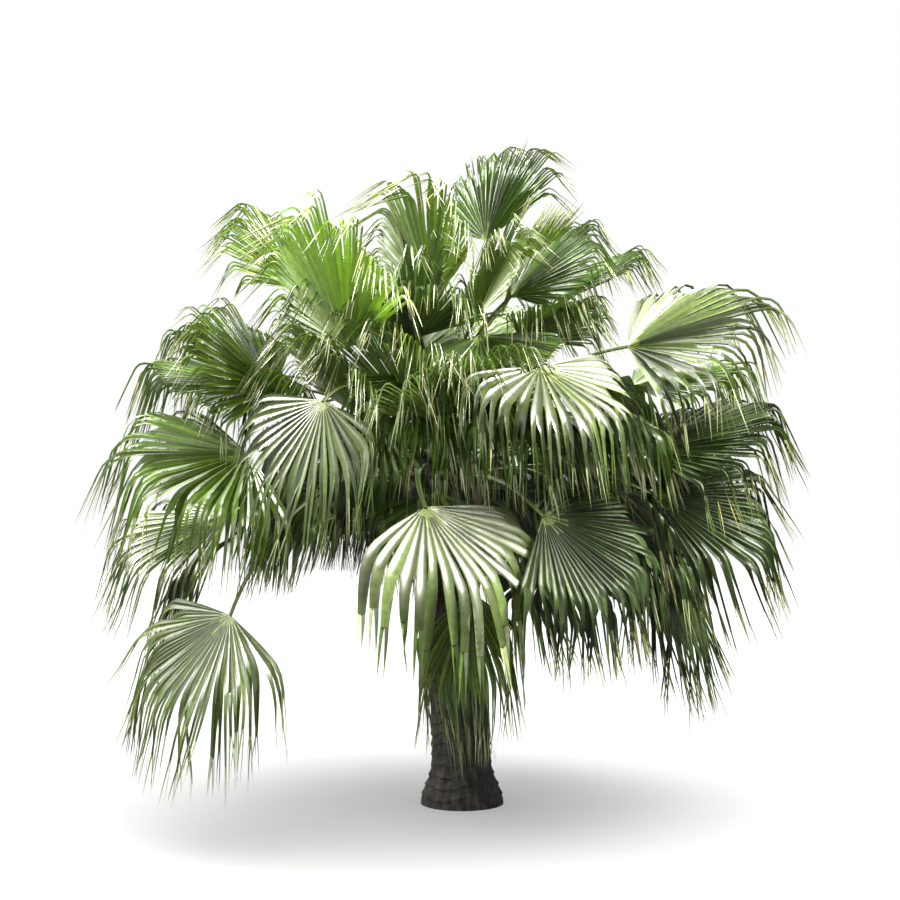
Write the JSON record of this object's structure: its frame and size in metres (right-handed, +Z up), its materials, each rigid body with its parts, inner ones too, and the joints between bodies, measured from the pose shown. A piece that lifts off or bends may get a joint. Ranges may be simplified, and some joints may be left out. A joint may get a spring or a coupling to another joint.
{
  "type": "chinese fan palm",
  "caption": "Young fan palm with a leaning trunk and a full rounded crown of pleated fan fronds on long stalks, their leaflet tips bent down and hanging.",
  "frame": {"origin": "middle of the flat cut under the trunk, at ground level", "axes": "+Z up; -Y towards the viewer of the picture, so azimuth 270 degrees is the front; +X to the viewer's right"},
  "size_m": [3.9209, 3.6455, 3.651],
  "materials": {
    "trunk": "matt, ringed with leaf scars below and wrapped in old leaf bases and brown fibre above",
    "stalk": "smooth, satin, yellow-green",
    "frond": "glossy green above, paler and duller beneath, with pale leaflet tips"
  },
  "bodies": {
    "root": {"trunk": "trunk", "stalk_front": "stalk", "blade_front": "frond", "stalk_front_right": "stalk", "blade_front_right": "frond", "stalk_left_face": "stalk", "blade_left_face": "frond", "stalk_left_hanging": "stalk", "blade_left_hanging": "frond", "stalk_right_gloss": "stalk", "blade_right_gloss": "frond", "stalk_left_gloss": "stalk", "blade_left_gloss": "frond", "frond_bright": "frond", "stalk_right_high": "stalk", "blade_right_high": "frond", "frond_top_right": "frond", "frond_top_left": "frond", "stalk_upper_right": "stalk", "blade_upper_right": "frond", "frond_upper_left": "frond", "frond_left_high": "frond", "stalk_right_low": "stalk", "blade_right_low": "frond", "stalk_right_mid": "stalk", "blade_right_mid": "frond", "stalk_left_low": "stalk", "blade_left_low": "frond", "stalk_left_level": "stalk", "blade_left_level": "frond", "stalk_right_level": "stalk", "blade_right_level": "frond", "frond_centre_up": "frond", "frond_centre_high": "frond", "stalk_centre_left": "stalk", "blade_centre_left": "frond", "stalk_centre_right": "stalk", "blade_centre_right": "frond", "stalk_front_hanging": "stalk", "blade_front_hanging": "frond", "stalk_right_hanging": "stalk", "blade_right_hanging": "frond", "stalk_left_low_back": "stalk", "blade_left_low_back": "frond", "frond_back_right_high": "frond", "stalk_back_upper_1": "stalk", "blade_back_upper_1": "frond", "frond_back_upper_2": "frond", "stalk_back_middle_1": "stalk", "blade_back_middle_1": "frond", "stalk_back_middle_2": "stalk", "blade_back_middle_2": "frond", "stalk_back_middle_3": "stalk", "blade_back_middle_3": "frond", "stalk_back_middle_4": "stalk", "blade_back_middle_4": "frond", "stalk_back_lower_1": "stalk", "blade_back_lower_1": "frond", "stalk_back_lower_2": "stalk", "blade_back_lower_2": "frond"}
  },
  "joints": []
}
